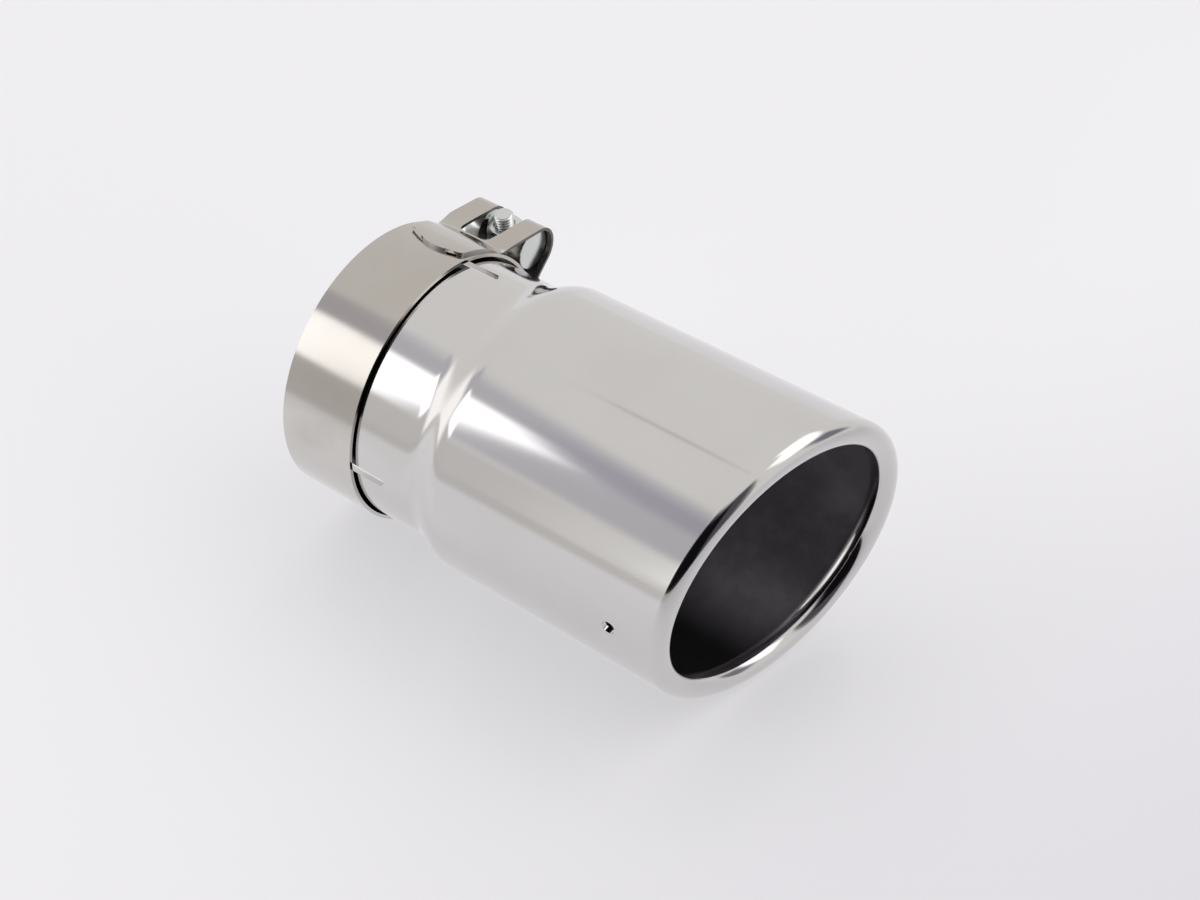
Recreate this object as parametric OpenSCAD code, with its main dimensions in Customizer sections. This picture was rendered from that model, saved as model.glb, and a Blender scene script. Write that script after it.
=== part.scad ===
// Clamp-on exhaust tip with a slanted outlet and a rolled-in rim.
// The tube lies along X: the gas enters at the inlet and leaves at the rim, on the +X side.
// The origin is the centre of the neck's bore, where its flared inlet end begins.
// Z points up as the tip lies on its side.
// Every piece is drawn with the tube's axis upright and the inlet's end at 0.

/* [Shell] */
// Outer diameter of the body
body_d = 90; // [86:1:100]
// Outer diameter of the neck that slides over the pipe
neck_d = 82; // [78:1:83]
// Thickness of the shell's sheet
sheet = 1.5; // [1:0.1:2]
// Distance from the inlet's end to the start of the shoulder
shoulder_x = 44.5; // [43:0.5:55]
// Length of the shoulder along the axis
shoulder_len = 12; // [10:1:20]
// Distance from the inlet's end to the widest ring of the rim, measured on the axis
rim_x = 137.7; // [128:0.1:170]
// Slant of the outlet, in degrees from square
slant = 14; // [0:1:18]
// Outer radius of the rolled rim
roll_r = 3.75; // [3:0.05:5]
// How far the sheet is rolled round at the rim, in degrees
roll_turn = 250; // [190:5:260]
// Direction of the outlet's longer side, in degrees from +Y towards +Z
shell_turn = -2.5; // [-180:0.5:180]

/* [Inlet and holes] */
// Length of the flared inlet end that the band seats on
flare_len = 6; // [5:0.5:8]
// Angle from the slot in the shorter side to the slot on each side of it, in degrees
slot_spread = 107; // [95:1:120]
// Width of a slot
slot_w = 3; // [2:0.5:5]
// Length of a slot from the inlet's end
slot_len = 36; // [28:1:42]
// Diameter of the drain hole in the shorter side
drain_d = 4; // [3:0.5:6]
// Distance from the inlet's end to the drain hole
drain_x = 115; // [80:1:118]

/* [Clamp band] */
// Width of the band along the axis
band_w = 25; // [23:1:27]
// Thickness of the band
band_t = 1; // [0.8:0.1:1.2]
// Gap between the neck and the band round it
band_gap = 0.8; // [0.5:0.1:1.5]
// Direction of the bolt's middle, in degrees from +Y towards +Z
clamp_turn = 2; // [-20:1:20]
// Angle from the bolt's middle to the fold at each end of the band
fold_angle = 12.5; // [11:0.5:14]
// Angle from the bolt's middle to where a folded end lies back on the band
back_angle = 48; // [46:1:52]
// Angle from the bolt's middle to a folded end's edge
tab_angle = 73; // [66:1:80]
// Radius of the bend where a folded end leaves the band
bend_r = 6; // [4:1:8]
// Distance from the band's side edge to a folded end's side edge
tab_inset = 1.5; // [1:0.1:3]
// Width of the window that holds the nut, or the bolt's head
window_w = 11.2; // [10.4:0.1:12]

/* [Bolt and barrels] */
// Distance from the band's outside to the bolt's line
bolt_rise = 3.3; // [3.1:0.1:4]
// Distance between the centres of the two barrels
barrel_span = 39.6; // [38:0.2:41]
// Diameter of a barrel
barrel_d = 13; // [12:0.5:13]
// Distance from the band's side edge to a barrel's end
barrel_inset = 1.8; // [1:0.1:3]
// Height of a barrel's flat above its centre
flat_h = 0; // [0:0.5:2]
// Thread diameter of the bolt
bolt_d = 6; // [5:0.5:6]
// Length of the bolt under its head
bolt_len = 48.5; // [48:0.5:60]
// Width of the nut and of the bolt's head across their flats
hex_w = 10; // [8:0.5:10]
// Height of the nut
nut_h = 5; // [3:0.5:5]
// Height of the bolt's head
head_h = 4; // [3:0.5:5]
// Height of the bevel on the nut, the head and the bolt's end
bevel = 0.6; // [0.3:0.1:0.8]

/* [Clearances] */
// Gap between the band and the flare that it seats on
seat_gap = 0.1; // [0.05:0.05:0.2]
// Gap between a barrel and the loop round it
loop_gap = 0.25; // [0.1:0.05:0.3]
// Gap round the bolt in a barrel's hole
bolt_gap = 0.25; // [0.1:0.05:0.3]
// Gap round the bolt in the nut
thread_gap = 0.05; // [0.05:0.05:0.1]

/* [Hidden] */
$fn = 96;
arc_steps = 10;
loop_steps = 24;
lap_angle = 1.5;
overcut = 1;
body_r = body_d / 2;
neck_r = neck_d / 2;
flare_rise = band_gap - seat_gap;
flare_r = (pow(flare_len, 2) + pow(flare_rise, 2)) / (2 * flare_rise);
shoulder_end = shoulder_x + shoulder_len;
shoulder_rise = body_r - neck_r;
shoulder_r = (pow(shoulder_len, 2) + pow(shoulder_rise, 2)) / (4 * shoulder_rise);
shoulder_bend = asin(shoulder_len / (2 * shoulder_r));
shell_end = rim_x + body_r;
band_r = neck_r + band_gap + band_t / 2;
tab_r = band_r + band_t;
loop_r = barrel_d / 2 + loop_gap + band_t / 2;
barrel_c = [band_r + band_t / 2 + bolt_rise, barrel_span / 2];
window_x = (band_w - window_w) / 2;
seat_y = barrel_c[1] + flat_h;

fold = polar(band_r, fold_angle);
bend_c = polar(tab_r + bend_r, back_angle);
out = barrel_c - fold;
out_heading = heading(out) - asin(loop_r / norm(out));
back = barrel_c - bend_c;
back_heading = heading(back) + asin((bend_r + loop_r) / norm(back));

// Point at a distance and an angle from a centre
function polar(r, a, c = [0, 0]) = c + r * [cos(a), sin(a)];

// Points along an arc
function arc(c, r, a0, a1, steps = arc_steps) = [for (i = [0:steps]) polar(r, a0 + (a1 - a0) * i / steps, c)];

// Direction of a vector in degrees
function heading(v) = atan2(v[1], v[0]);

// Outline of the shell's sheet at a depth under its outside, as points [along the axis, radius]
function shell_line(depth) = concat(
    arc([flare_len, neck_r + flare_r], flare_r + depth, 180 + acos(flare_len / (flare_r + depth)), 270),
    arc([shoulder_x, neck_r + shoulder_r], shoulder_r + depth, 270, 270 + shoulder_bend),
    arc([shoulder_end, body_r - shoulder_r], shoulder_r - depth, 90 + shoulder_bend, 90),
    [[shell_end, body_r - depth]]
);

// Side line of the bend that lifts a folded end off the band, at a distance outside its middle
function bend_line(side) = arc(bend_c, bend_r - side, back_heading + 270, back_angle + 180);

// Side line of the loop from the fold out under the barrel, round it and back to the band
function loop_line(side) = concat(
    [polar(side, out_heading - 90, fold)],
    arc(barrel_c, loop_r + side, out_heading - 90, back_heading + 90, loop_steps),
    bend_line(side)
);

// List in the opposite order
function reversed(list) = [for (i = [len(list) - 1:-1:0]) list[i]];

// Lays a piece that was drawn with the tube's axis upright along X, with the start of the bore at the origin
module lay_down() {
    translate([-flare_len, 0, 0])
        rotate([90, 0, 90])
            children();
}

// The sheet from the inlet to past the rim, before the outlet is cut
module shell_sheet() {
    line = concat(shell_line(0), reversed(shell_line(sheet)));
    rotate_extrude()
        polygon([for (p = line) [p[1], p[0]]]);
}

// Everything past the slanted plane of the rim's widest ring
module past_rim() {
    translate([0, 0, rim_x])
        rotate([0, -slant, 0])
            translate([-shell_end, -shell_end, 0])
                cube(2 * shell_end);
}

// The sheet's end rolled inwards round the rim, slanted with the outlet
module rolled_rim() {
    sector = concat([[0, 0]], arc([0, 0], 2 * roll_r, 0, roll_turn));
    multmatrix([[1, 0, 0, 0], [0, 1, 0, 0], [tan(slant), 0, 1, rim_x], [0, 0, 0, 1]])
        rotate_extrude()
            translate([body_r - roll_r, 0])
                intersection() {
                    difference() {
                        circle(roll_r);
                        circle(roll_r - sheet);
                    }
                    polygon(sector);
                }
}

// One slot through the neck, open at the inlet's end
module slot() {
    straight_len = slot_len - slot_w / 2;
    translate([0, -slot_w / 2, -overcut])
        cube([neck_r + band_gap + overcut, slot_w, straight_len + overcut]);
    translate([0, 0, straight_len])
        rotate([0, 90, 0])
            cylinder(d = slot_w, h = neck_r + overcut);
}

// The drain hole through the body's shorter side
module drain_hole() {
    translate([0, 0, drain_x])
        rotate([0, -90, 0])
            cylinder(d = drain_d, h = body_r + overcut);
}

// The tube in one piece: slotted neck, shoulder, body and rolled rim
module tip_shell() {
    color("silver")
        lay_down()
            rotate([0, 0, shell_turn])
                union() {
                    difference() {
                        shell_sheet();
                        past_rim();
                        for (a = [-slot_spread, 0, slot_spread]) {
                            rotate([0, 0, 180 + a])
                                slot();
                        }
                        drain_hole();
                    }
                    rolled_rim();
                }
}

// A stretch of the strip round the tube, at a radius r, from x0 over a width w
module round_strip(r, a0, a1, x0, w) {
    translate([0, 0, x0])
        rotate_extrude(start = a0, angle = a1 - a0)
            translate([r - band_t / 2, 0])
                square([band_t, w]);
}

// A stretch of the strip between its two side lines, from x0 over a width w
module bent_strip(outer, inner, x0, w) {
    translate([0, 0, x0])
        linear_extrude(w)
            polygon(concat(outer, reversed(inner)));
}

// One end of the band: the fold, two straps with the window between them, and the welded tab
module band_end() {
    half_t = band_t / 2;
    translate(concat(fold, 0))
        cylinder(d = band_t, h = band_w);
    for (x0 = [0, window_x + window_w]) {
        bent_strip(loop_line(half_t), loop_line(-half_t), x0, window_x);
    }
    bent_strip(bend_line(half_t), bend_line(-half_t), window_x, window_w);
    round_strip(tab_r, back_angle - lap_angle, back_angle + lap_angle, 0, band_w);
    round_strip(tab_r, back_angle, tab_angle, tab_inset, band_w - 2 * tab_inset);
}

// The band: one strip round the neck with both ends folded round the barrels
module clamp_band() {
    color("lightgray")
        lay_down()
            rotate([0, 0, clamp_turn]) {
                round_strip(band_r, fold_angle, 360 - fold_angle, 0, band_w);
                band_end();
                mirror([0, 1, 0])
                    band_end();
            }
}

// A barrel in the band's upper loop, with a flat for the nut and a hole for the bolt
module barrel() {
    translate([barrel_c[0], barrel_c[1], 0])
        difference() {
            translate([0, 0, barrel_inset])
                cylinder(d = barrel_d, h = band_w - 2 * barrel_inset);
            translate([-barrel_d, flat_h, window_x])
                cube([2 * barrel_d, barrel_d, window_w]);
            translate([0, 0, band_w / 2])
                rotate([90, 0, 0])
                    cylinder(d = bolt_d + 2 * bolt_gap, h = 2 * barrel_d, center = true);
        }
}

// The barrel that carries the nut
module upper_barrel() {
    color("gainsboro")
        lay_down()
            rotate([0, 0, clamp_turn])
                barrel();
}

// The barrel that carries the bolt's head
module lower_barrel() {
    color("gainsboro")
        lay_down()
            rotate([0, 0, clamp_turn])
                mirror([0, 1, 0])
                    barrel();
}

// Moves a piece drawn round +Z onto the bolt's line, from a height along that line
module on_bolt_line(from) {
    lay_down()
        rotate([0, 0, clamp_turn])
            translate([barrel_c[0], from, band_w / 2])
                rotate([-90, 0, 0])
                    children();
}

// Hexagonal block with its upper corners bevelled
module hex_block(h) {
    corner_r = hex_w / 2 / cos(30);
    intersection() {
        cylinder(r = corner_r, h = h, $fn = 6);
        union() {
            cylinder(r = corner_r + overcut, h = h - bevel);
            translate([0, 0, h - bevel])
                cylinder(r1 = corner_r, r2 = hex_w / 2 - bevel / 2, h = bevel);
        }
    }
}

// The bolt through both barrels, with its head on the lower one
module clamp_bolt() {
    color("whitesmoke")
        on_bolt_line(-seat_y) {
            mirror([0, 0, 1])
                hex_block(head_h);
            cylinder(d = bolt_d, h = bolt_len - bevel);
            translate([0, 0, bolt_len - bevel])
                cylinder(d1 = bolt_d, d2 = bolt_d - 2 * bevel, h = bevel);
        }
}

// The nut on the upper barrel's flat
module clamp_nut() {
    color("whitesmoke")
        on_bolt_line(seat_y)
            difference() {
                hex_block(nut_h);
                translate([0, 0, -overcut])
                    cylinder(d = bolt_d + 2 * thread_gap, h = nut_h + 2 * overcut);
            }
}

tip_shell();
clamp_band();
upper_barrel();
lower_barrel();
clamp_bolt();
clamp_nut();
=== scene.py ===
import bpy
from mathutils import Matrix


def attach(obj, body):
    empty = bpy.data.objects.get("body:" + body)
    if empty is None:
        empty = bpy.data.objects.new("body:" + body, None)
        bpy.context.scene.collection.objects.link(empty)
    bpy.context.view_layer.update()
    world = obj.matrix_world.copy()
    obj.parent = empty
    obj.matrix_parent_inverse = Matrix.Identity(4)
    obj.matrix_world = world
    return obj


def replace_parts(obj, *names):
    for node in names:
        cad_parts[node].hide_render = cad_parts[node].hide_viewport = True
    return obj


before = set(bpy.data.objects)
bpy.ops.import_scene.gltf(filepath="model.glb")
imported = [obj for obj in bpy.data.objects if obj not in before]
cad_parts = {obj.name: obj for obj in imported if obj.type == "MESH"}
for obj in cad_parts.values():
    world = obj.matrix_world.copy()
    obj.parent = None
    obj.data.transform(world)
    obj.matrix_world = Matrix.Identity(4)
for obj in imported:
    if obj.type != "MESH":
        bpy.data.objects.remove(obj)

"""A clamp-on exhaust tip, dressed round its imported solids.

All sizes in the classes are millimetres in the part's own frame: the tube lies along X, the
gas leaves on the +X side, Z points up, and the origin is the start of the neck's bore.
Angles round the tube run from +Y towards +Z, in degrees.
"""

import logging
import math
from collections.abc import Iterable, Sequence
from dataclasses import dataclass, field
from enum import Enum

import bmesh
import bpy
from mathutils import Matrix, Vector

LOG = logging.getLogger("exhaust_tip")
MM = 0.001
NIL = 1e-6
X_AXIS = Vector((1.0, 0.0, 0.0))


# ---------------- shader tools


class Level:
    """A number in a node tree, on which Python's operators add Math nodes."""

    def __init__(self, maker: "NodeMaker", socket: bpy.types.NodeSocket) -> None:
        """Wraps one output socket.

        Args:
            maker: The maker of the tree that holds the socket.
            socket: The output socket that carries the number.
        """
        self.maker = maker
        self.socket = socket

    def join(self, operation: str, *others: object, swap: bool = False) -> "Level":
        """Adds one Math node on this number.

        Args:
            operation: The Math node's operation.
            others: The other operands, numbers or levels.
            swap: Whether this number is the second operand.

        Returns:
            The node's result.
        """
        given = [others[0], self] if swap else [self, *others]
        node = self.maker.make("ShaderNodeMath", {"operation": operation}, dict(enumerate(given)))
        return Level(self.maker, node.outputs[0])

    def __add__(self, other: object) -> "Level":
        """Sum."""
        return self.join("ADD", other)

    __radd__ = __add__

    def __sub__(self, other: object) -> "Level":
        """Difference."""
        return self.join("SUBTRACT", other)

    def __rsub__(self, other: object) -> "Level":
        """Difference with this number taken away."""
        return self.join("SUBTRACT", other, swap=True)

    def __mul__(self, other: object) -> "Level":
        """Product."""
        return self.join("MULTIPLY", other)

    __rmul__ = __mul__

    def __abs__(self) -> "Level":
        """Size without the sign."""
        return self.join("ABSOLUTE")

    def ramp(self, low: float, high: float) -> "Level":
        """Smooth step of this number.

        Args:
            low: Where the step is 0.
            high: Where the step is 1. It may be less than low.

        Returns:
            The step, from 0 to 1.
        """
        node = self.maker.make(
            "ShaderNodeMapRange",
            {"interpolation_type": "SMOOTHSTEP"},
            {"Value": self, "From Min": low, "From Max": high},
        )
        return Level(self.maker, node.outputs["Result"])


@dataclass
class NodeMaker:
    """Adds nodes to one tree."""

    tree: bpy.types.NodeTree

    def make(self, kind: str, settings: dict | None = None, inputs: dict | None = None) -> bpy.types.Node:
        """Adds a node.

        Args:
            kind: The node's type.
            settings: The node's own settings, set first.
            inputs: Values or links of its sockets, by name or number.

        Returns:
            The new node.
        """
        node = self.tree.nodes.new(kind)
        for name, value in (settings or {}).items():
            setattr(node, name, value)
        for key, value in (inputs or {}).items():
            socket = node.inputs[key]
            if isinstance(value, Level):
                value = value.socket
            if isinstance(value, bpy.types.NodeSocket):
                self.tree.links.new(value, socket)
            else:
                socket.default_value = value
        return node

    def mix(self, factor: object, first: object, second: object) -> bpy.types.NodeSocket:
        """Mixes two colours.

        Args:
            factor: Share of the second colour.
            first: The colour at 0.
            second: The colour at 1.

        Returns:
            The mixed colour.
        """
        node = self.make("ShaderNodeMix", {"data_type": "RGBA"}, {0: factor, 6: first, 7: second})
        return node.outputs[2]

    def noise(self, place: object, scale: float, detail: float = 2.0, roughness: float = 0.5) -> Level:
        """Noise texture.

        Args:
            place: The vector that it reads.
            scale: Its scale, per metre.
            detail: Its number of octaves.
            roughness: The weight of its finer octaves.

        Returns:
            The noise, about 0.5 in the mean.
        """
        node = self.make(
            "ShaderNodeTexNoise",
            None,
            {"Vector": place, "Scale": scale, "Detail": detail, "Roughness": roughness},
        )
        return Level(self, node.outputs["Fac"])

    def stretched(self, place: object, scale: Sequence[float]) -> bpy.types.NodeSocket:
        """Stretches a vector.

        Args:
            place: The vector.
            scale: Its scale along each axis.

        Returns:
            The new vector.
        """
        node = self.make("ShaderNodeMapping", None, {"Vector": place, "Scale": scale})
        return node.outputs[0]

    def axes(self, place: object) -> tuple[Level, Level, Level]:
        """Splits a vector into its X, Y and Z."""
        node = self.make("ShaderNodeSeparateXYZ", None, {0: place})
        return tuple(Level(self, node.outputs[i]) for i in range(3))


def rgba(colour: Sequence[float]) -> tuple[float, float, float, float]:
    """Adds full alpha to a colour."""
    return (colour[0], colour[1], colour[2], 1.0)


# ---------------- finishes


class Slot(Enum):
    """The record's material slots."""

    SHELL = "polished_stainless"
    BAND = "band_stainless"
    HARDWARE = "zinc_plate"


def blank_material(name: str) -> tuple[bpy.types.Material, NodeMaker, bpy.types.Node]:
    """Makes an empty node material.

    Args:
        name: The material's name.

    Returns:
        The material, its node maker and its output node.
    """
    material = bpy.data.materials.new(name)
    material.use_nodes = True
    material.node_tree.nodes.clear()
    maker = NodeMaker(material.node_tree)
    return material, maker, maker.make("ShaderNodeOutputMaterial")


def principled(maker: NodeMaker, output: bpy.types.Node, inputs: dict) -> None:
    """Gives a material one Principled shader.

    Args:
        maker: The material's node maker.
        output: The material's output node.
        inputs: Values or links of the shader's sockets.
    """
    shader = maker.make("ShaderNodeBsdfPrincipled", None, inputs)
    maker.tree.links.new(shader.outputs[0], output.inputs[0])


@dataclass(frozen=True)
class Metal:
    """A bare metal finish with faint tone changes, fine grain and slight waviness.

    The stain comes in clouds. Where two heights are given, in metres, the same colour also rises between them
    as a painted shade, darker towards the top.
    """

    name: str
    colour: tuple[float, float, float]
    # Colour of the stain, and of the painted shade where heights are given.
    stain_and_shade: tuple[float, float, float]
    roughness: float
    haze: float
    grain: tuple[float, float, float]
    grain_depth: float
    wave_depth: float
    stain_share: float = 0.35
    # Heights, in metres, between which a painted shade darkens the finish towards the top.
    painted_shade_rise: tuple[float, float] | None = None
    cloud_scale: float = 38.0
    cloud_edge: tuple[float, float] = (0.42, 0.72)
    wave_scale: float = 24.0
    # The painted shade's share: a least part and a part that follows the clouds.
    painted_shade_share: tuple[float, float] = (0.45, 0.9)

    def build(self) -> bpy.types.Material:
        """Builds the finish.

        Returns:
            The material.
        """
        material, maker, output = blank_material(self.name)
        place = maker.make("ShaderNodeTexCoord").outputs["Object"]
        cloud = maker.noise(place, self.cloud_scale, 3.0)
        fine = maker.noise(maker.stretched(place, self.grain), 1.0, 4.0, 0.65)
        wave = maker.noise(place, self.wave_scale, 1.0)
        share = cloud.ramp(*self.cloud_edge) * self.stain_share
        # Painted shade: above the lower height the stain colour is laid on more, so the top looks darker.
        if self.painted_shade_rise:
            _, _, height = maker.axes(place)
            least, spread = self.painted_shade_share
            share = share.join("MAXIMUM", height.ramp(*self.painted_shade_rise) * (least + cloud * spread))
        colour = maker.mix(share, rgba(self.colour), rgba(self.stain_and_shade))
        rough = self.roughness + (cloud - 0.5) * self.haze + (fine - 0.5) * self.haze
        relief = fine * self.grain_depth + wave * self.wave_depth
        bump = maker.make("ShaderNodeBump", None, {"Strength": 1.0, "Distance": MM, "Height": relief})
        inputs = {"Base Color": colour, "Metallic": 1.0, "Roughness": rough, "Normal": bump.outputs[0]}
        principled(maker, output, inputs)
        return material


@dataclass(frozen=True)
class Inside:
    """The tube's inside: bare in the neck, and dark with scale in the body.

    The border lies along X and the painted shade across Y, both in metres: towards -Y the body's inside is
    painted darker.
    """

    name: str
    bare: tuple[float, float, float]
    dark: tuple[float, float, float]
    light: tuple[float, float, float]
    roughness: float
    bare_roughness: float = 0.15
    dark_metal: float = 0.4
    border: tuple[float, float] = (0.036, 0.046)
    # The next two fields set a painted shade: the share of the dark colour that it keeps, and where across Y
    # it gives way.
    painted_shade_level: float = 0.05
    painted_shade_side: tuple[float, float] = (-0.006, 0.021)
    cloud_scale: float = 60.0
    cloud_edge: tuple[float, float] = (0.35, 0.75)
    border_wander: float = 0.004
    haze: float = 0.1
    grain_scale: float = 900.0
    grain_strength: float = 0.4
    grain_depth: float = 0.1

    def build(self) -> bpy.types.Material:
        """Builds the finish.

        Returns:
            The material.
        """
        material, maker, output = blank_material(self.name)
        place = maker.make("ShaderNodeTexCoord").outputs["Object"]
        cloud = maker.noise(place, self.cloud_scale, 4.0, 0.6)
        fine = maker.noise(place, self.grain_scale, 3.0)
        depth, side, _ = maker.axes(place)
        scale = maker.mix(cloud.ramp(*self.cloud_edge), rgba(self.dark), rgba(self.light))
        # Painted shade: towards -Y the body's inside is darkened to a small share of its dark colour.
        painted_shade_colour = rgba([self.painted_shade_level * part for part in self.dark])
        scale = maker.mix(side.ramp(*self.painted_shade_side), painted_shade_colour, scale)
        share = (depth + cloud * self.border_wander).ramp(*self.border)
        colour = maker.mix(share, rgba(self.bare), scale)
        bump = maker.make(
            "ShaderNodeBump",
            None,
            {"Strength": self.grain_strength, "Distance": self.grain_depth * MM, "Height": fine},
        )
        rough = self.bare_roughness + share * (self.roughness - self.bare_roughness)
        inputs = {
            "Base Color": colour,
            "Metallic": 1.0 - share * (1.0 - self.dark_metal),
            "Roughness": rough + (cloud - 0.5) * self.haze,
            "Normal": bump.outputs[0],
        }
        principled(maker, output, inputs)
        return material


POLISHED = Metal(
    name="polished_shell",
    colour=(0.64, 0.63, 0.62),
    stain_and_shade=(0.60, 0.585, 0.565),
    roughness=0.10,
    haze=0.03,
    grain=(90.0, 900.0, 900.0),
    grain_depth=0.0008,
    wave_depth=0.010,
)
STRIP = Metal(
    name="rolled_strip",
    colour=(0.61, 0.595, 0.57),
    stain_and_shade=(0.49, 0.462, 0.425),
    roughness=0.13,
    haze=0.07,
    grain=(2600.0, 160.0, 160.0),
    grain_depth=0.0012,
    wave_depth=0.014,
    stain_share=0.6,
    # Painted shade: the band is darker on its upper side, from 10 to 23 mm up.
    painted_shade_rise=(0.010, 0.023),
)
# Painted shade: a dark colour for the inside of the loops round the barrels, their rims and the band's back
# against the neck, where shade falls.
PAINTED_SHADE_BACK = Metal(
    name="painted_shade_strip_back",
    colour=(0.15, 0.145, 0.14),
    stain_and_shade=(0.09, 0.085, 0.08),
    roughness=0.32,
    haze=0.10,
    grain=(400.0, 160.0, 160.0),
    grain_depth=0.002,
    wave_depth=0.006,
)
CUT_EDGE = Metal(
    name="cut_edge",
    colour=(0.50, 0.49, 0.475),
    stain_and_shade=(0.36, 0.35, 0.335),
    roughness=0.34,
    haze=0.10,
    grain=(900.0, 300.0, 300.0),
    grain_depth=0.0015,
    wave_depth=0.012,
)
ZINC = Metal(
    name="zinc_plating",
    colour=(0.66, 0.68, 0.67),
    stain_and_shade=(0.58, 0.60, 0.58),
    roughness=0.24,
    haze=0.10,
    grain=(700.0, 700.0, 700.0),
    grain_depth=0.004,
    wave_depth=0.006,
    stain_share=0.5,
)
INSIDE = Inside(
    name="dark_inside",
    bare=(0.80, 0.79, 0.78),
    dark=(0.27, 0.252, 0.284),
    light=(0.40, 0.375, 0.42),
    roughness=0.42,
)


# ---------------- mesh tools


def polar(radius: float, angle: float, centre: Sequence[float] = (0.0, 0.0)) -> Vector:
    """Point at a distance and an angle in degrees from a centre."""
    turn = math.radians(angle)
    return Vector((centre[0] + radius * math.cos(turn), centre[1] + radius * math.sin(turn)))


def arc(centre: Sequence[float], radius: float, start: float, end: float, steps: int) -> list[Vector]:
    """Points along an arc.

    Args:
        centre: The arc's centre.
        radius: Its radius.
        start: Angle of its first point, in degrees.
        end: Angle of its last point, in degrees.
        steps: How many stretches it has.

    Returns:
        The points, one more than the stretches.
    """
    return [polar(radius, start + (end - start) * i / steps, centre) for i in range(steps + 1)]


def heading(vector: Vector) -> float:
    """Direction of a plane vector in degrees."""
    return math.degrees(math.atan2(vector.y, vector.x))


def put(name: str, data: bpy.types.ID) -> bpy.types.Object:
    """Puts a new object in the scene.

    Args:
        name: Its name.
        data: Its mesh or camera.

    Returns:
        The object.
    """
    item = bpy.data.objects.new(name, data)
    bpy.context.scene.collection.objects.link(item)
    return item


def to_mesh(bm: bmesh.types.BMesh, name: str) -> bpy.types.Mesh:
    """Turns a bmesh in millimetres into a mesh in metres.

    Args:
        bm: The shape. It is freed.
        name: The mesh's name.

    Returns:
        The mesh.
    """
    bmesh.ops.scale(bm, vec=(MM, MM, MM), verts=bm.verts)
    mesh = bpy.data.meshes.new(name)
    bm.to_mesh(mesh)
    bm.free()
    return mesh


def finish_piece(
    bm: bmesh.types.BMesh,
    name: str,
    materials: Iterable[bpy.types.Material],
    sharp: float = 35.0,
) -> bpy.types.Object:
    """Turns a bmesh in millimetres into a dressed piece.

    Args:
        bm: The shape, in millimetres. It is freed.
        name: The piece's name.
        materials: Its materials, in the order of the faces' numbers.
        sharp: Angle above which an edge is sharp, in degrees.

    Returns:
        The new object, riding on the one body.
    """
    mesh = to_mesh(bm, name)
    for material in materials:
        mesh.materials.append(material)
    piece = put(name, mesh)
    smooth(piece, sharp)
    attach(piece, "root")
    return piece


def smooth(piece: bpy.types.Object, sharp: float) -> None:
    """Shades a piece smooth, with its edges above an angle in degrees kept sharp."""
    piece.data.shade_smooth()
    piece.data.set_sharp_from_angle(angle=math.radians(sharp))


def cut(
    piece: bpy.types.Object,
    cutters: Sequence[bmesh.types.BMesh],
    operation: str = "DIFFERENCE",
    sharp: float = 35.0,
) -> None:
    """Cuts closed shapes out of a piece, or does another Boolean operation with them.

    Args:
        piece: The piece, whose mesh is replaced.
        cutters: Closed shapes in millimetres. They are freed.
        operation: The Boolean modifier's operation.
        sharp: Angle above which an edge is sharp, in degrees.
    """
    tools = []
    for bm in cutters:
        bmesh.ops.recalc_face_normals(bm, faces=bm.faces)
        tool = put("cutter", to_mesh(bm, "cutter"))
        tools.append(tool)
        step = piece.modifiers.new("cut", "BOOLEAN")
        step.operation = operation
        step.solver = "EXACT"
        step.object = tool
    apply_all(piece)
    for tool in tools:
        bpy.data.meshes.remove(tool.data)
    smooth(piece, sharp)


def apply_all(piece: bpy.types.Object) -> None:
    """Makes a piece's modifiers part of its mesh.

    Args:
        piece: The piece, whose mesh is replaced.
    """
    bpy.context.view_layer.update()
    seen = piece.evaluated_get(bpy.context.evaluated_depsgraph_get())
    mesh = bpy.data.meshes.new_from_object(seen)
    old = piece.data
    piece.modifiers.clear()
    piece.data = mesh
    bpy.data.meshes.remove(old)
    mesh.name = piece.name


def near(distance: float, reach: float) -> float:
    """Falls evenly from 1 at no distance to 0 at the reach."""
    return max(0.0, 1 - max(0.0, distance) / reach)


def round_corner(radius: float, distance: float) -> float:
    """How far a rounded corner draws a side in.

    Args:
        radius: The corner's radius.
        distance: Distance from the side's end.

    Returns:
        How far in the side lies there.
    """
    if distance >= radius:
        return 0.0
    return radius - math.sqrt(max(radius**2 - (radius - distance) ** 2, 0.0))


def round_edges(piece: bpy.types.Object, width: float, segments: int, limit: float) -> None:
    """Rounds a piece's edges and makes all its modifiers part of its mesh.

    Args:
        piece: The piece.
        width: The rounding's width, in millimetres.
        segments: How many facets it has.
        limit: Angle above which an edge is rounded, in degrees.
    """
    edge = piece.modifiers.new("edge", "BEVEL")
    edge.width = width * MM
    edge.segments = segments
    edge.limit_method = "ANGLE"
    edge.angle_limit = math.radians(limit)
    edge.harden_normals = True
    apply_all(piece)


def round_bar(radius: float, low: Vector, high: Vector, segments: int = 48) -> bmesh.types.BMesh:
    """A closed straight bar between two points.

    Args:
        radius: The bar's radius.
        low: Centre of one end.
        high: Centre of the other end.
        segments: How many sides it has.

    Returns:
        The bar.
    """
    bm = bmesh.new()
    along = high - low
    place = Matrix.Translation((low + high) / 2) @ along.to_track_quat("Z", "Y").to_matrix().to_4x4()
    bmesh.ops.create_cone(
        bm, cap_ends=True, segments=segments, radius1=radius, radius2=radius, depth=along.length, matrix=place
    )
    return bm


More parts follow.
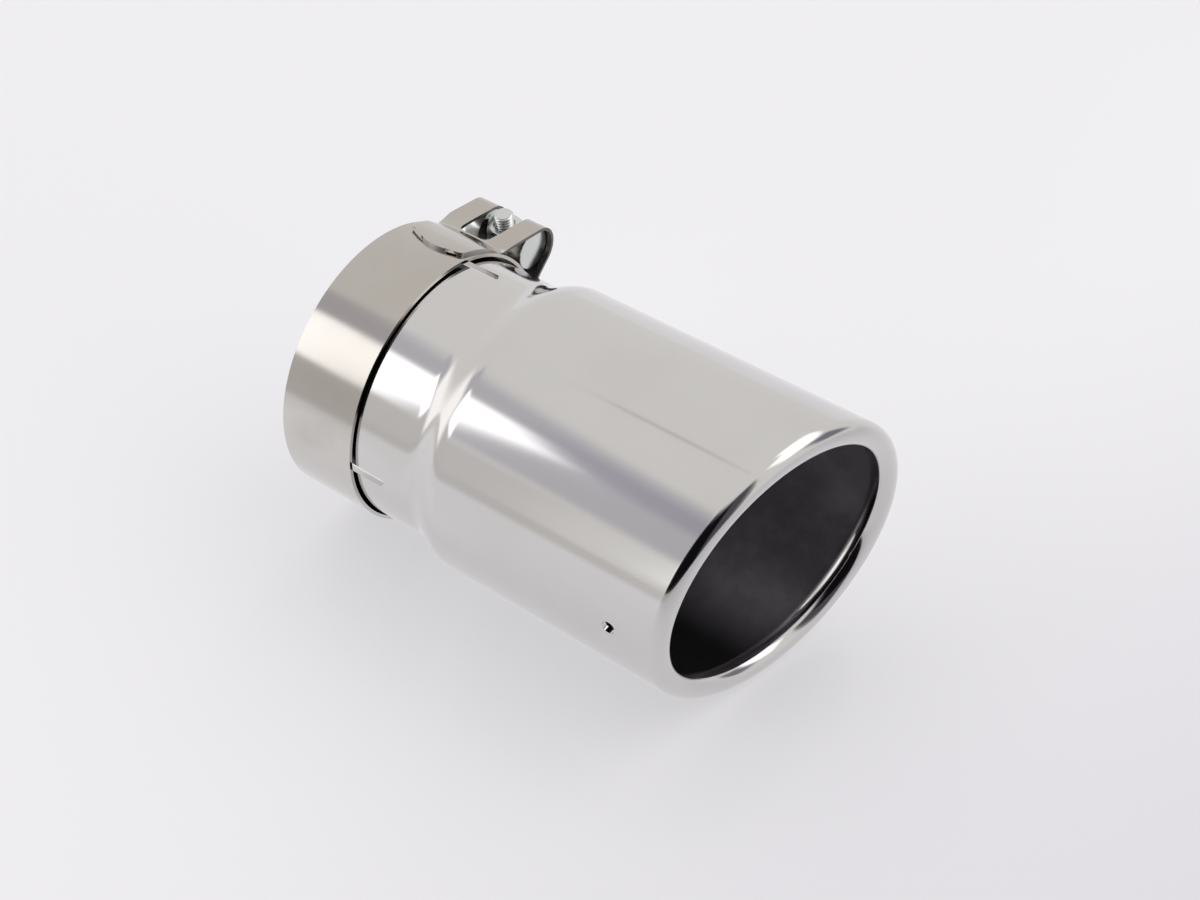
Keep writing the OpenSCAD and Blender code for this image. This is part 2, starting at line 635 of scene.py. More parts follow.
def block(low: Sequence[float], high: Sequence[float], place: Matrix | None = None) -> bmesh.types.BMesh:
    """A closed block between two corners.

    Args:
        low: Its lowest corner.
        high: Its highest corner.
        place: Where it then goes.

    Returns:
        The block.
    """
    bm = bmesh.new()
    bmesh.ops.create_cube(bm, size=1.0)
    size = Vector(high) - Vector(low)
    bmesh.ops.scale(bm, vec=size, verts=bm.verts)
    bmesh.ops.translate(bm, vec=(Vector(high) + Vector(low)) / 2, verts=bm.verts)
    if place is not None:
        bmesh.ops.transform(bm, matrix=place, verts=bm.verts)
    return bm


def spin_line(
    bm: bmesh.types.BMesh,
    points: Iterable[Sequence[float]],
    axis: Sequence[float],
    steps: int,
    turns: int = 1,
    climb: float = 0.0,
) -> None:
    """Spins a line of points about an axis through the origin.

    Args:
        bm: The shape that it is added to.
        points: The line.
        axis: The axis.
        steps: How many steps a turn has.
        turns: How many turns it makes.
        climb: How far it rises along Z at each turn. At 0 the ends are merged.
    """
    verts = [bm.verts.new(point) for point in points]
    edges = [bm.edges.new(pair) for pair in zip(verts, verts[1:])]
    bmesh.ops.spin(
        bm,
        geom=verts + edges,
        axis=axis,
        dvec=(0, 0, climb / steps),
        angle=2 * math.pi * turns,
        steps=steps * turns,
        use_merge=not climb,
    )


def turned_blank(line: Sequence[tuple[float, float]], steps: int) -> bmesh.types.BMesh:
    """A closed solid of revolution about Z.

    Args:
        line: Its outline as (radius, height), from one pole to the other.
        steps: How many sides it has.

    Returns:
        The solid.
    """
    bm = bmesh.new()
    spin_line(bm, [(radius, 0, height) for radius, height in line], (0, 0, 1), steps)
    bmesh.ops.remove_doubles(bm, verts=bm.verts, dist=1e-4)
    return bm


def slice_all(
    bm: bmesh.types.BMesh, place: Sequence[float], normal: Sequence[float], clear: bool
) -> list[bmesh.types.BMEdge]:
    """Cuts a whole shape by a plane.

    Args:
        bm: The shape.
        place: A point of the plane.
        normal: The plane's normal.
        clear: Whether what lies beyond the plane goes.

    Returns:
        The new edges in the plane.
    """
    geom = bm.verts[:] + bm.edges[:] + bm.faces[:]
    found = bmesh.ops.bisect_plane(
        bm, geom=geom, dist=1e-5, plane_co=place, plane_no=normal, clear_outer=clear
    )
    return [part for part in found["geom_cut"] if isinstance(part, bmesh.types.BMEdge)]


# ---------------- the tube


@dataclass
class TipShell:
    """The tube: slotted neck, shoulder, body and rolled rim."""

    body_r: float = 45.0
    neck_r: float = 41.0
    sheet: float = 1.5
    flare_len: float = 6.0
    flare_rise: float = 0.7
    shoulder_x: float = 36.5
    shoulder_len: float = 15.0
    shoulder_steps: int = 44
    rim_x: float = 131.7
    slant: float = 14.0
    roll_r: float = 3.75
    roll_turn: float = 250.0
    turn: float = -2.5
    slots: tuple[float, ...] = (73.0, 180.0, 287.0)
    slot_w: float = 3.0
    slot_end: float = 30.0
    drain_x: float = 109.0
    drain_r: float = 2.0
    segments: int = 192
    roll_steps: int = 40
    neck_rows: tuple[float, ...] = (1.0, 8.0, 20.0, 30.0, 35.5)
    body_rows: tuple[float, ...] = (0.5, 2.0, 8.0, 24.0, 48.0, 62.0)
    rim_rows: tuple[float, ...] = (0.4, 2.0, 6.0)
    slot_cut: tuple[float, float] = (30.0, 50.0)
    drain_cut: tuple[float, float] = (35.0, 55.0)

    def outline(self) -> list[Vector]:
        """Outline of the tube's outside.

        Returns:
            Points (along the axis, radius) from the inlet's end to past the rim.
        """
        flare_r = (self.flare_len**2 + self.flare_rise**2) / (2 * self.flare_rise)
        flare_turn = math.degrees(math.asin(self.flare_len / flare_r))
        rise = self.body_r - self.neck_r
        end = self.shoulder_x + self.shoulder_len
        line = arc((0.0, self.neck_r + flare_r), flare_r, 270 - flare_turn, 270, 8)
        line += [Vector((x, self.neck_r)) for x in self.neck_rows]
        for part in (i / self.shoulder_steps for i in range(self.shoulder_steps + 1)):
            height = part**3 * (6 * part**2 - 15 * part + 10)
            line.append(Vector((self.shoulder_x + part * self.shoulder_len, self.neck_r + rise * height)))
        line += [Vector((end + d, self.body_r)) for d in self.body_rows]
        line.append(Vector((self.rim_x + self.body_r, self.body_r)))
        return line

    def rim_place(self, angle: float) -> tuple[Vector, Vector]:
        """Where the roll's middle lies at an angle round the tube.

        Args:
            angle: Angle from the longer side, in radians.

        Returns:
            The middle of the roll's section there, and the direction of the roll's run.
        """
        radius = self.body_r - self.roll_r
        lean = math.tan(math.radians(self.slant))
        at = angle + math.radians(self.turn)
        along = self.rim_x + lean * radius * math.cos(angle)
        middle = Vector((along, radius * math.cos(at), radius * math.sin(at)))
        run = Vector((-lean * math.sin(angle), -math.sin(at), math.cos(at))).normalized()
        return middle, run

    def build(self) -> bpy.types.Object:
        """Builds and dresses the tube.

        Returns:
            The piece.
        """
        bm = bmesh.new()
        turn = Matrix.Rotation(math.radians(self.turn), 3, X_AXIS)
        spin_line(bm, [turn @ p.to_3d() for p in self.outline()], X_AXIS, self.segments)
        radius = self.body_r - self.roll_r
        lean = math.tan(math.radians(self.slant)) * radius / self.body_r
        across = turn @ Vector((1.0, -lean, 0.0))
        for back in (0.0, *self.rim_rows):
            slice_all(bm, (self.rim_x - back, 0, 0), across, back == 0.0)
        ring = [e for e in bm.edges if e.is_boundary and e.verts[0].co.x > self.shoulder_x]
        angles = {}
        for edge in ring:
            for vert in edge.verts:
                angles[vert] = math.atan2(vert.co.z, vert.co.y) - math.radians(self.turn)
        step = math.radians(self.roll_turn / self.roll_steps)
        for _ in range(self.roll_steps):
            made = bmesh.ops.extrude_edge_only(bm, edges=ring)["geom"]
            ring = [e for e in made if isinstance(e, bmesh.types.BMEdge) and e.is_boundary]
            fresh = {}
            for vert in (v for v in made if isinstance(v, bmesh.types.BMVert)):
                others = (e.other_vert(vert) for e in vert.link_edges)
                angle = next(angles[other] for other in others if other in angles)
                middle, run = self.rim_place(angle)
                vert.co = middle + Matrix.Rotation(-step, 3, run) @ (vert.co - middle)
                fresh[vert] = angle
            angles = fresh
        bmesh.ops.recalc_face_normals(bm, faces=bm.faces)
        middle = self.rim_x / 2
        probe = next(f for f in bm.faces if middle < f.calc_center_median().x < self.drain_x)
        if probe.normal.dot(probe.calc_center_median() * Vector((0, 1, 1))) < 0:
            bmesh.ops.reverse_faces(bm, faces=bm.faces)
        piece = finish_piece(bm, "tip_shell_sheet", (POLISHED.build(), INSIDE.build()))
        wall = piece.modifiers.new("wall", "SOLIDIFY")
        wall.thickness = self.sheet * MM
        wall.offset = -1.0
        wall.use_even_offset = True
        wall.material_offset = 1
        cut(piece, self.cutters())
        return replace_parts(piece, "tip_shell")

    def cutters(self) -> list[bmesh.types.BMesh]:
        """Shapes of the slots and the drain hole.

        Returns:
            Closed shapes in millimetres.
        """
        made = []
        for angle in self.slots:
            turn = Matrix.Rotation(math.radians(angle + self.turn), 4, X_AXIS)
            half = self.slot_w / 2
            inner, outer = self.slot_cut
            start = -self.flare_len - 5
            made.append(block((start, inner, -half), (self.slot_end - half, outer, half), turn))
            low, high = (turn @ Vector((self.slot_end - half, y, 0)) for y in self.slot_cut)
            made.append(round_bar(half, low, high, 24))
        turn = Matrix.Rotation(math.radians(180 + self.turn), 4, X_AXIS)
        low, high = (turn @ Vector((self.drain_x, y, 0)) for y in self.drain_cut)
        made.append(round_bar(self.drain_r, low, high, 32))
        return made


# ---------------- the clamp


@dataclass
class Strip:
    """A sheet metal strip that grows row by row from a row of points across its width."""

    bm: bmesh.types.BMesh
    columns: Sequence[float]
    rows: list[list[bmesh.types.BMVert]] = field(default_factory=list)
    lengths: list[float] = field(default_factory=list)
    courses: list[float] = field(default_factory=list)
    place: Vector = field(default_factory=lambda: Vector((0.0, 0.0)))
    course: float = 0.0

    def start(self, place: Vector, course: float) -> None:
        """Lays the first row.

        Args:
            place: Where the strip's middle starts, in the plane across the tube.
            course: Its direction there, in degrees.
        """
        self.place, self.course = place.copy(), course
        row = [self.bm.verts.new((x, place.x, place.y)) for x in self.columns]
        for pair in zip(row, row[1:]):
            self.bm.edges.new(pair)
        self.rows.append(row)
        self.lengths.append(0.0)
        self.courses.append(course)

    def grow(self, move: Matrix, length: float, turn: float = 0.0) -> None:
        """Adds one row, as a moved copy of the last.

        Args:
            move: How the last row moves.
            length: The strip's length between the two rows.
            turn: How far the course turns between them, in degrees.
        """
        last = self.rows[-1]
        edges = [self.bm.edges.get(pair) for pair in zip(last, last[1:])]
        made = bmesh.ops.extrude_edge_only(self.bm, edges=edges)["geom"]
        fresh = [v for v in made if isinstance(v, bmesh.types.BMVert)]
        bmesh.ops.transform(self.bm, matrix=move, verts=fresh)
        self.rows.append(sorted(fresh, key=lambda v: v.co.x))
        self.lengths.append(self.lengths[-1] + length)
        self.courses.append(self.courses[-1] + turn)

    def run(self, distance: float, steps: int) -> None:
        """Grows straight on.

        Args:
            distance: How far.
            steps: How many rows it takes.
        """
        stride = polar(distance / steps, self.course)
        for _ in range(steps):
            self.grow(Matrix.Translation((0, stride.x, stride.y)), distance / steps)
        self.place += stride * steps

    def bend(self, radius: float, angle: float, steps: int) -> None:
        """Grows round a bend.

        Args:
            radius: The bend's radius at the strip's middle.
            angle: How far the course turns, in degrees, more than 0 to the left.
            steps: How many rows it takes.
        """
        side = 90 if angle > 0 else -90
        centre = polar(radius, self.course + side, self.place)
        hub = Vector((0, centre.x, centre.y))
        turn = math.radians(angle / steps)
        move = Matrix.Translation(hub) @ Matrix.Rotation(turn, 4, X_AXIS) @ Matrix.Translation(-hub)
        for _ in range(steps):
            self.grow(move, radius * abs(turn), angle / steps)
        self.place = polar(radius, self.course - side + angle, centre)
        self.course += angle


@dataclass
class ClampBand:
    """The band round the neck, with its ends folded back round the barrels."""

    start_x: float = -6.0
    width: float = 25.0
    sheet: float = 1.0
    ring_r: float = 42.3
    turn: float = 2.0
    fold_angle: float = 12.5
    fold_r: float = 1.0
    barrel_place: tuple[float, float] = (46.1, 19.8)
    loop_r: float = 7.25
    back_angle: float = 48.0
    bend_r: float = 6.0
    tab_angle: float = 73.0
    tab_end: float = 4.0
    tab_inset: float = 1.0
    tab_end_inset: tuple[float, float] = (3.6, 1.9)
    window: tuple[float, float] = (7.3, 18.4)
    window_corner: float = 2.4
    tab_corner: float = 2.5
    fold_bulge: float = 0.45
    tab_sag: float = 2.2
    tab_middle: float = 15.0
    root_lift: float = 1.1
    bulge_reach: float = 9.0
    inset_reach: float = 8.0
    sag_reach: float = 8.0
    lift_reach: float = 7.0
    grip_reach: float = 3.0
    edge_round: float = 0.32

    def columns(self) -> list[float]:
        """Lays out the strip's columns of points.

        Returns:
            Their places across its width. The last one within the window is the window's far side.
        """
        low, high = self.window
        side = (0.0, 0.35, 1.6, 3.6, 5.4, low - 0.4, low)
        middle = [low + (high - low) * i / 10 for i in range(1, 10)]
        return [*side, *middle, *(self.width - place for place in reversed(side))]

    def build(self) -> bpy.types.Object:
        """Builds and dresses the band.

        Returns:
            The piece.
        """
        bm = bmesh.new()
        strip = Strip(bm, self.columns())
        strip.start(polar(self.ring_r, 180), 90)
        strip.bend(self.ring_r, -(180 - self.fold_angle), 120)
        marks = {"fold": len(strip.rows) - 1}
        hub = polar(self.ring_r + self.fold_r, self.fold_angle)
        reach = Vector(self.barrel_place) - hub
        out = heading(reach) - math.degrees(math.asin((self.loop_r - self.fold_r) / reach.length))
        strip.bend(self.fold_r, out - strip.course, 10)
        marks["out"] = len(strip.rows) - 1
        root = polar(self.ring_r + self.sheet + self.bend_r, self.back_angle)
        back = Vector(self.barrel_place) - root
        home = heading(back) + math.degrees(math.asin((self.bend_r + self.loop_r) / back.length)) + 180
        start = polar(self.loop_r, out - 90, self.barrel_place)
        strip.run((start - strip.place).length, 8)
        strip.bend(self.loop_r, home - out, 30)
        landing = polar(self.bend_r, home + 90, root)
        strip.run((landing - strip.place).length, 24)
        marks["root"] = len(strip.rows) - 1
        strip.bend(self.bend_r, self.back_angle + 90 - home, 10)
        marks["tab"] = len(strip.rows) - 1
        strip.bend(self.ring_r + self.sheet, self.tab_angle - self.back_angle - self.tab_end, 22)
        strip.bend(self.ring_r + self.sheet, self.tab_end, 14)
        self.shape(strip, marks)
        half = bm.verts[:] + bm.edges[:] + bm.faces[:]
        bmesh.ops.mirror(bm, geom=half, matrix=Matrix.Identity(4), merge_dist=1e-4, axis="Z")
        bmesh.ops.remove_doubles(bm, verts=bm.verts, dist=1e-4)
        turn = Matrix.Rotation(math.radians(self.turn), 3, X_AXIS)
        bmesh.ops.rotate(bm, verts=bm.verts, cent=(0, 0, 0), matrix=turn)
        bmesh.ops.translate(bm, vec=(self.start_x, 0, 0), verts=bm.verts)
        bmesh.ops.recalc_face_normals(bm, faces=bm.faces)
        probe = min(bm.faces, key=lambda f: f.calc_center_median().y)
        if probe.normal.y > 0:
            bmesh.ops.reverse_faces(bm, faces=bm.faces)
        # Painted shade: inner is the dark colour on the inside of the loops, their rims and the ring's back.
        face, inner = STRIP.build(), PAINTED_SHADE_BACK.build()
        # Faces of ring, loop and tab are numbered 0, 1 and 2, their backs 1, 2 and 3, their rims 4, 5 and 6.
        finishes = (face, inner, face, face, face, inner, CUT_EDGE.build())
        piece = finish_piece(bm, "clamp_band_strip", finishes, 40.0)
        wall = piece.modifiers.new("wall", "SOLIDIFY")
        wall.thickness = self.sheet * MM
        wall.offset = 0.0
        wall.material_offset = 1
        wall.material_offset_rim = 4
        round_edges(piece, self.edge_round, 3, 50.0)
        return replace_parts(piece, "clamp_band")

    def shape(self, strip: Strip, marks: dict[str, int]) -> None:
        """Shapes the strip's sides, numbers its faces' finishes and cuts the window.

        Args:
            strip: The strip, in the clamp's own frame.
            marks: Numbers of its rows at the fold, the loop's start, the window's root and the tab.
        """
        low, high = self.window
        middle, half = self.width / 2, (high - low) / 2
        first, root = marks["out"] + 2, marks["root"] + 3
        dead = self.window_faces(strip, first, root)
        ends = (strip.lengths[first], strip.lengths[root])
        total, tab = strip.lengths[-1], strip.lengths[marks["tab"]]
        run, fold = total - tab, strip.lengths[marks["fold"] + 5]
        for number, row in enumerate(strip.rows):
            length = strip.lengths[number]
            left = total - length
            inside = ends[0] - NIL <= length <= ends[1] + NIL
            to_end = min(abs(length - e) for e in ends)
            narrow = round_corner(self.window_corner, to_end) if inside else 0.0
            side = self.tab_inset * near(left - run, self.inset_reach) + round_corner(self.tab_corner, left)
            share = max(0.0, 1 - left / run)
            sides = [side + share * (end - self.tab_inset) for end in self.tab_end_inset]
            bulge = self.fold_bulge * near(abs(length - fold), self.bulge_reach) ** 2
            along = polar(1.0, strip.courses[number])
            for x, vert in zip(strip.columns, row):
                away = abs(x - middle)
                sign = 1 if x > middle else -1
                share = away / middle
                grip = away / half if away <= half + NIL else near(abs(away - half), self.grip_reach)
                vert.co.x = x + ((bulge - sides[x > middle]) * share - narrow * grip) * sign
                lift = self.root_lift * share**4 * near(abs(length - tab + 1.0), self.lift_reach)
                pull = -self.tab_sag * ((x - self.tab_middle) / middle) ** 2 * near(left, self.sag_reach)
                vert.co.y += along.x * pull - along.y * lift
                vert.co.z += along.y * pull + along.x * lift
        turned = {vert for row in strip.rows[marks["fold"] : marks["tab"] + 1] for vert in row}
        laid = {vert for row in strip.rows[marks["tab"] :] for vert in row}
        for face in strip.bm.faces:
            face.material_index = 2 if laid.issuperset(face.verts) else 0
            if turned.issuperset(face.verts):
                face.material_index = 1
        bmesh.ops.delete(strip.bm, geom=dead, context="FACES")

    def window_faces(self, strip: Strip, first: int, root: int) -> list[bmesh.types.BMFace]:
        """Finds the faces that the window takes away.

        Args:
            strip: The strip, not yet shaped.
            first: Number of the window's first row.
            root: Number of its last row.

        Returns:
            The faces.
        """
        low, high = self.window
        low, high = low - NIL, high + NIL
        inner = [n for n, x in enumerate(strip.columns) if low <= x <= high]
        opening = {strip.rows[number][n] for number in range(first, root + 1) for n in inner}
        return [face for face in strip.bm.faces if opening.issuperset(face.verts)]


@dataclass
class Bolting:
    """The barrels in the band's loops, the bolt through them and its nut."""

    start_x: float = -6.0
    width: float = 25.0
    turn: float = 2.0
    line: float = 46.1
    rise: float = 19.8
    barrel_r: float = 6.5
    barrel_inset: float = 1.8
    barrel_bevel: float = 0.35
    bolt_r: float = 3.0
    hole_r: float = 3.25
    bolt_len: float = 48.5
    pitch: float = 1.0
    thread_depth: float = 0.55
    thread_len: float = 32.0
    hex_r: float = 5.0
    nut_h: float = 5.0
    head_h: float = 4.0
    corner_drop: float = 0.62
    window: tuple[float, float] = (6.9, 18.1)
    steel: bpy.types.Material = field(default_factory=ZINC.build)

    def frame(self) -> Matrix:
        """Matrix from the clamp's own frame to the part's, in millimetres."""
        turn = Matrix.Rotation(math.radians(self.turn), 4, X_AXIS)
        return Matrix.Translation((self.start_x, 0, 0)) @ turn

    def on_line(self, height: float, flip: bool = False) -> Matrix:
        """Matrix that lays a shape drawn up +Z onto the bolt's line.

        Args:
            height: Where its foot goes along the line.
            flip: Whether it points down the line.

        Returns:
            The matrix.
        """
        place = self.frame() @ Matrix.Translation((self.width / 2, self.line, height))
        return place @ Matrix.Rotation(math.pi, 4, X_AXIS) if flip else place

    def barrel(self, name: str, side: int) -> bpy.types.Object:
        """Builds one barrel.

        Args:
            name: The CAD node that it stands for.
            side: 1 for the upper barrel, -1 for the lower one.

        Returns:
            The piece.
        """
        place = self.frame()
        centre = Vector((0, self.line, side * self.rise))
        low = place @ (centre + Vector((self.barrel_inset, 0, 0)))
        high = place @ (centre + Vector((self.width - self.barrel_inset, 0, 0)))
        bm = round_bar(self.barrel_r, low, high, 96)
        rims = [e for e in bm.edges if any(len(f.verts) > 4 for f in e.link_faces)]
        bmesh.ops.bevel(
            bm, geom=rims, offset=self.barrel_bevel, affect="EDGES", segments=3, profile=0.5, material=-1
        )
        piece = finish_piece(bm, name + "_bar", (self.steel,), 30.0)
        far = 2 * self.barrel_r
        corners = sorted((side * self.rise, side * (self.rise + far)))
        near_side, far_side = self.window
        flat = block((near_side, self.line - far, corners[0]), (far_side, self.line + far, corners[1]), place)
        ends = [place @ Vector((self.width / 2, self.line, side * self.rise + h)) for h in (-far, far)]
        cut(piece, (flat, round_bar(self.hole_r, *ends)), sharp=30.0)
        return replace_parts(piece, name)

    def hexagon(self, height: float) -> bmesh.types.BMesh:
        """A hexagonal block.

        Args:
            height: Its height.

        Returns:
            The block, drawn up +Z from 0, with two flats facing X.
        """
        corner = self.hex_r / math.cos(math.radians(30))
        bm = bmesh.new()
        place = Matrix.Translation((0, 0, height / 2)) @ Matrix.Rotation(math.radians(30), 4, "Z")
        bmesh.ops.create_cone(
            bm, cap_ends=True, segments=6, radius1=corner, radius2=corner, depth=height, matrix=place
        )
        return bm

    def turned(self, height: float, both: bool) -> bmesh.types.BMesh:
        """The turned blank that a hexagonal block's corners are cut to.

        Args:
            height: The block's height.
            both: Whether both ends are turned, or the upper one only.

        Returns:
            The closed blank.
        """
        wide = self.hex_r / math.cos(math.radians(30)) + 0.05
        face = self.hex_r * 0.97
        low = [(0.0, 0.0), (face, 0.0), (wide, self.corner_drop)] if both else [(0.0, 0.0), (wide, 0.0)]
        bm = turned_blank([*low, (wide, height - self.corner_drop), (face, height), (0.0, height)], 96)
        bmesh.ops.dissolve_degenerate(bm, dist=1e-5, edges=bm.edges)
        return bm

    def hex_piece(
        self, name: str, height: float, both: bool, place: Matrix, bore: float = 0.0
    ) -> bpy.types.Object:
        """Builds a nut or a bolt's head.

        Args:
            name: The piece's name.
            height: Its height.
            both: Whether both ends' corners are turned off.
            place: Where it goes.
            bore: Radius of its hole, or 0 for none.

        Returns:
            The piece.
        """
        blank = self.hexagon(height)
        bmesh.ops.transform(blank, matrix=place, verts=blank.verts)
        piece = finish_piece(blank, name, (self.steel,), 20.0)
        shape = self.turned(height, both)
        bmesh.ops.transform(shape, matrix=place, verts=shape.verts)
        cut(piece, (shape,), "INTERSECT", 20.0)
        if bore:
            ends = [place @ Vector((0, 0, z)) for z in (-1.0, height + 1.0)]
            lead = bmesh.new()
            bmesh.ops.create_cone(
                lead,
                cap_ends=True,
                segments=48,
                radius1=bore - 0.2,
                radius2=bore + 0.5,
                depth=0.7,
                matrix=place @ Matrix.Translation((0, 0, height - 0.3)),
            )
            cut(piece, (round_bar(bore, *ends), lead), sharp=20.0)
        round_edges(piece, 0.10, 2, 20.0)
        return piece

    def shank(self) -> bmesh.types.BMesh:
        """The bolt's shank with its thread.

        Returns:
            The closed shank, drawn up +Z from 0.
        """
        bm = bmesh.new()
        outer, inner, pitch = self.bolt_r, self.bolt_r - self.thread_depth, self.pitch
        flank = outer - 0.03
        line = [(inner, 0.0), (inner, 0.14), (flank, 0.44), (outer, 0.48)]
        line += [(outer, 0.56), (flank, 0.60), (inner, 0.90), (inner, 1.0)]
        low = self.bolt_len - self.thread_len
        points = [(r, 0, low + z * pitch) for r, z in line]
        spin_line(bm, points, (0, 0, 1), 40, int(self.thread_len / pitch) + 1, pitch)
        bmesh.ops.remove_doubles(bm, verts=bm.verts, dist=1e-4)
        for height, up in ((low + pitch, -1), (self.bolt_len, 1)):
            rim = slice_all(bm, (0, 0, height), (0, 0, up), True)
            bmesh.ops.holes_fill(bm, edges=rim, sides=0)
        return bm

    def bolt(self) -> bpy.types.Object:
        """Builds the bolt.

        Returns:
            Its threaded piece. The plain part of the shank and the head are pieces of their own.
        """
        place = self.on_line(-self.rise)
        bm = self.shank()
        bmesh.ops.recalc_face_normals(bm, faces=bm.faces)
        bmesh.ops.transform(bm, matrix=place, verts=bm.verts)
        piece = finish_piece(bm, "clamp_bolt_thread", (self.steel,), 30.0)
        wide, point = self.bolt_r + 1, (self.bolt_r - 0.4, self.bolt_len)
        line = [(0.0, -1.0), (wide, -1.0), (wide, self.bolt_len - 1.4), point, (0.0, self.bolt_len)]
        end = turned_blank(line, 64)
        bmesh.ops.transform(end, matrix=place, verts=end.verts)
        cut(piece, (end,), "INTERSECT", 30.0)
        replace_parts(piece, "clamp_bolt")
        low = self.bolt_len - self.thread_len + self.pitch
        plain = round_bar(self.bolt_r - 0.02, place @ Vector((0, 0, 0)), place @ Vector((0, 0, low)))
        finish_piece(plain, "clamp_bolt_shank", (self.steel,), 30.0)
        self.hex_piece("clamp_bolt_head", self.head_h, False, self.on_line(-self.rise, True))
        return piece

    def nut(self) -> bpy.types.Object:
        """Builds the nut.

        Returns:
            The piece.
        """
        place = self.on_line(self.rise)
        piece = self.hex_piece("clamp_nut_hex", self.nut_h, True, place, self.bolt_r + 0.02)
        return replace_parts(piece, "clamp_nut")


# ---------------- the studio


@dataclass(frozen=True)
class Card:
    """One soft-edged light or dark card of the studio, as a patch of sky."""

    azimuth: tuple[float, float]
    elevation: tuple[float, float]
    colour: tuple[float, float, float]
    soft: tuple[float, float] = (6.0, 6.0)
    lean: float = 0.0


@dataclass(frozen=True)
class Fade:
    """A painted shade on the floor: its tone darkens softly along a direction, between two distances in
    metres.
    """

    course: tuple[float, float]
    span: tuple[float, float]

    def share(self, x: Level, y: Level) -> Level:
        """Share of the further tone at a place."""
        return (x * self.course[0] + y * self.course[1]).ramp(*self.span)


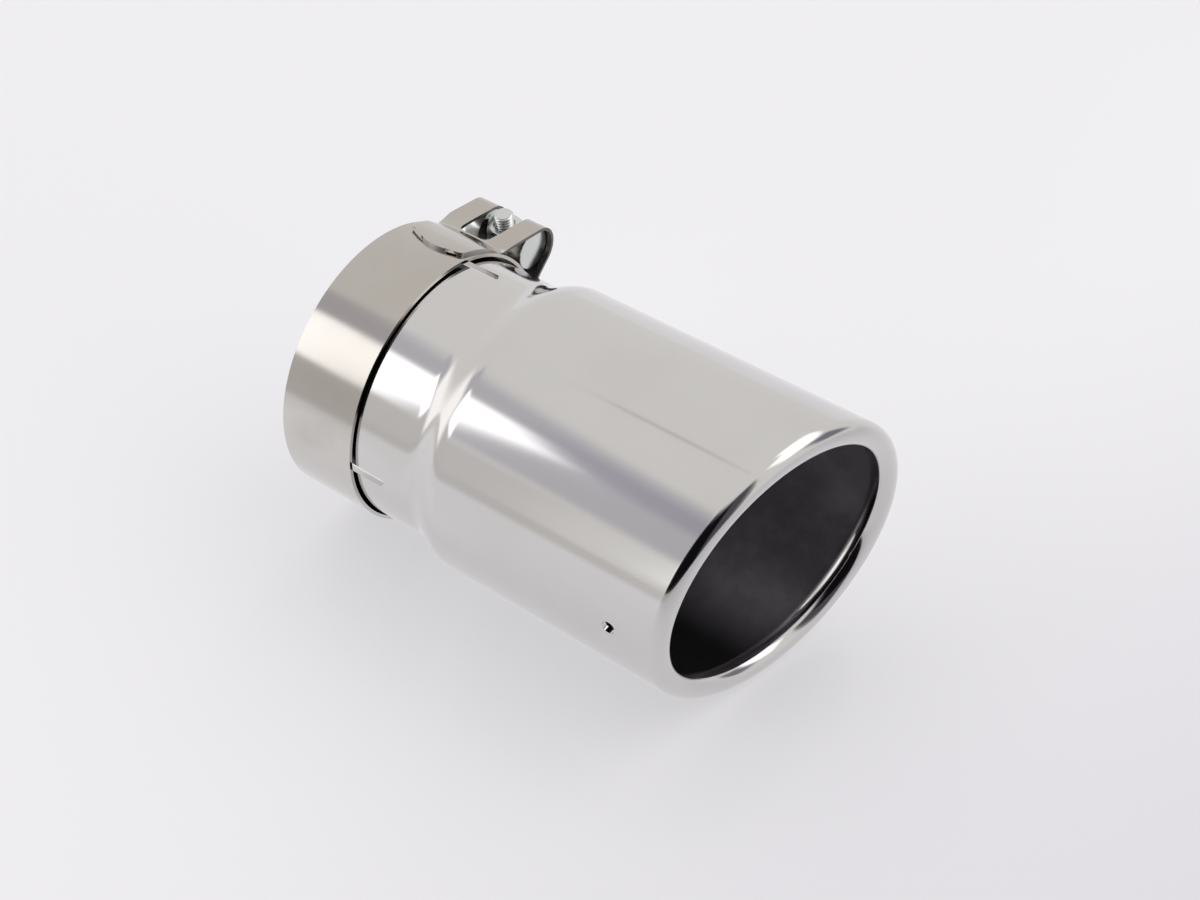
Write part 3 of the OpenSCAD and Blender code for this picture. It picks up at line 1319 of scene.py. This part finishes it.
@dataclass(frozen=True)
class Studio:
    """The pale floor, the even light round it and the camera."""

    floor_z: float = -45.0
    camera: tuple[float, float, float] = (253.087, -250.096, 338.708)
    camera_turn: float = 35.555
    camera_tilt: float = 47.089
    lens: float = 48.68
    base: tuple[float, float, float] = (0.88, 0.865, 0.85)
    floor_light: tuple[float, float, float] = (0.950, 0.942, 0.965)
    # Painted shade: the floor darkens towards these two tones along the two fades below.
    floor_deep: tuple[float, float, float] = (0.80, 0.785, 0.825)
    floor_edge: tuple[float, float, float] = (0.70, 0.685, 0.68)
    floor_glow: float = 0.48
    floor_mirror_glow: float = 0.68
    floor_roughness: float = 0.16
    floor_size: float = 4000.0
    deep_fade: Fade = Fade((1.3, -0.35), (0.08, 0.42))
    edge_fade: Fade = Fade((-0.5, -0.87), (0.33, 0.55))
    cards: tuple[Card, ...] = ()

    def light(self) -> None:
        """Sets the even light and its cards."""
        world = bpy.data.worlds.new("studio_light")
        bpy.context.scene.world = world
        world.use_nodes = True
        world.node_tree.nodes.clear()
        maker = NodeMaker(world.node_tree)
        x, y, z = maker.axes(maker.make("ShaderNodeTexCoord").outputs["Generated"])
        azimuth = y.join("ARCTAN2", x) * math.degrees(1)
        elevation = z.join("ARCSINE") * math.degrees(1)
        colour = rgba(self.base)
        for card in self.cards:
            height = elevation - sum(card.elevation) / 2
            away = azimuth - sum(card.azimuth) / 2 - height * card.lean
            away = away.join("WRAP", 180.0, -180.0)
            share = 1.0
            for gap, (low, high), soft in zip((away, height), (card.azimuth, card.elevation), card.soft):
                edge = (high - low) / 2
                share = share * abs(gap).ramp(edge + soft / 2, edge - soft / 2)
            colour = maker.mix(share, colour, rgba(card.colour))
        glow = maker.make("ShaderNodeBackground", None, {"Color": colour, "Strength": 1.0})
        output = maker.make("ShaderNodeOutputWorld")
        maker.tree.links.new(glow.outputs[0], output.inputs[0])

    def floor(self) -> None:
        """Lays the glossy pale floor."""
        material, maker, output = blank_material("studio_floor")
        x, y, _ = maker.axes(maker.make("ShaderNodeTexCoord").outputs["Object"])
        # Painted shade: the floor's tone darkens along the two fades.
        tone = maker.mix(self.deep_fade.share(x, y), rgba(self.floor_light), rgba(self.floor_deep))
        tone = maker.mix(self.edge_fade.share(x, y), tone, rgba(self.floor_edge))
        inputs = {"Base Color": tone, "Roughness": self.floor_roughness, "IOR": 1.45}
        shader = maker.make("ShaderNodeBsdfPrincipled", None, inputs)
        glow = maker.make("ShaderNodeEmission", None, {"Color": tone, "Strength": 1.0})
        ray = maker.make("ShaderNodeLightPath")
        seen = Level(maker, ray.outputs["Is Camera Ray"]) * self.floor_glow
        for kind in ("Is Glossy Ray", "Is Transmission Ray"):
            seen = seen.join("MAXIMUM", Level(maker, ray.outputs[kind]) * self.floor_mirror_glow)
        inputs = {0: seen, 1: shader.outputs[0], 2: glow.outputs[0]}
        look = maker.make("ShaderNodeMixShader", None, inputs)
        maker.tree.links.new(look.outputs[0], output.inputs[0])
        bm = bmesh.new()
        bmesh.ops.create_grid(bm, x_segments=2, y_segments=2, size=self.floor_size)
        bmesh.ops.translate(bm, vec=(0, 0, self.floor_z), verts=bm.verts)
        mesh = to_mesh(bm, "floor")
        mesh.materials.append(material)
        put("floor", mesh)

    def place_camera(self) -> None:
        """Puts the camera where the photograph was taken from."""
        turn, tilt = math.radians(self.camera_turn), math.radians(self.camera_tilt)
        right = Vector((math.cos(turn), math.sin(turn), 0))
        level = math.cos(tilt)
        view = Vector((-math.sin(turn) * level, math.cos(turn) * level, -math.sin(tilt)))
        up = right.cross(view)
        camera = bpy.data.cameras.new("camera")
        camera.lens = self.lens
        camera.sensor_width = 36.0
        camera.clip_start = 0.01
        stand = put("camera", camera)
        pose = Matrix((right, up, -view)).transposed().to_4x4()
        stand.matrix_world = Matrix.Translation(Vector(self.camera) * MM) @ pose
        bpy.context.scene.camera = stand


CARDS = (
    Card((-165.0, -96.0), (21.0, 57.0), (0.62, 0.605, 0.65), (8.0, 7.0)),
    Card((-151.0, -114.5), (-4.0, 19.0), (0.72, 0.705, 0.70), (5.0, 5.0)),
    Card((-173.0, -147.0), (-8.0, 34.0), (1.45, 1.43, 1.42), (14.0, 14.0)),
    Card((-144.5, -123.4), (19.0, 46.8), (2.0, 2.0, 2.03), (3.5, 4.0)),
    Card((-129.0, -105.0), (41.0, 52.0), (0.47, 0.46, 0.53), (4.0, 7.0), -0.9),
    Card((156.6, 161.2), (64.8, 69.4), (0.58, 0.57, 0.58), (3.2, 2.0), -1.07),
    Card((-109.5, -104.5), (3.0, 22.0), (1.30, 1.30, 1.30), (3.0, 8.0)),
    Card((-105.0, -6.0), (-2.0, 64.0), (0.30, 0.29, 0.29), (6.0, 14.0)),
    Card((-104.0, -27.0), (-1.0, 60.0), (0.11, 0.10, 0.11), (4.0, 8.0)),
    Card((-103.5, -33.0), (-3.0, 54.0), (0.006, 0.006, 0.008), (4.0, 8.0)),
    Card((-37.0, -12.0), (2.0, 60.0), (0.10, 0.095, 0.11), (8.0, 10.0)),
    Card((18.0, 104.0), (33.0, 66.0), (1.75, 1.75, 1.78), (14.0, 8.0)),
    Card((32.0, 64.0), (7.0, 29.0), (0.24, 0.24, 0.29), (14.0, 8.0)),
)


def main() -> None:
    """Builds the exhaust tip and its studio."""
    logging.basicConfig(level=logging.INFO)
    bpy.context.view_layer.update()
    studio = Studio(cards=CARDS)
    studio.light()
    studio.floor()
    studio.place_camera()
    pieces = [TipShell().build(), ClampBand().build()]
    bolting = Bolting()
    pieces += [bolting.barrel("upper_barrel", 1), bolting.barrel("lower_barrel", -1)]
    pieces += [bolting.bolt(), bolting.nut()]
    for piece in pieces:
        LOG.info("%s: %d faces", piece.name, len(piece.data.polygons))
    bpy.context.scene.view_settings.view_transform = "Standard"


if __name__ == "__main__":
    main()
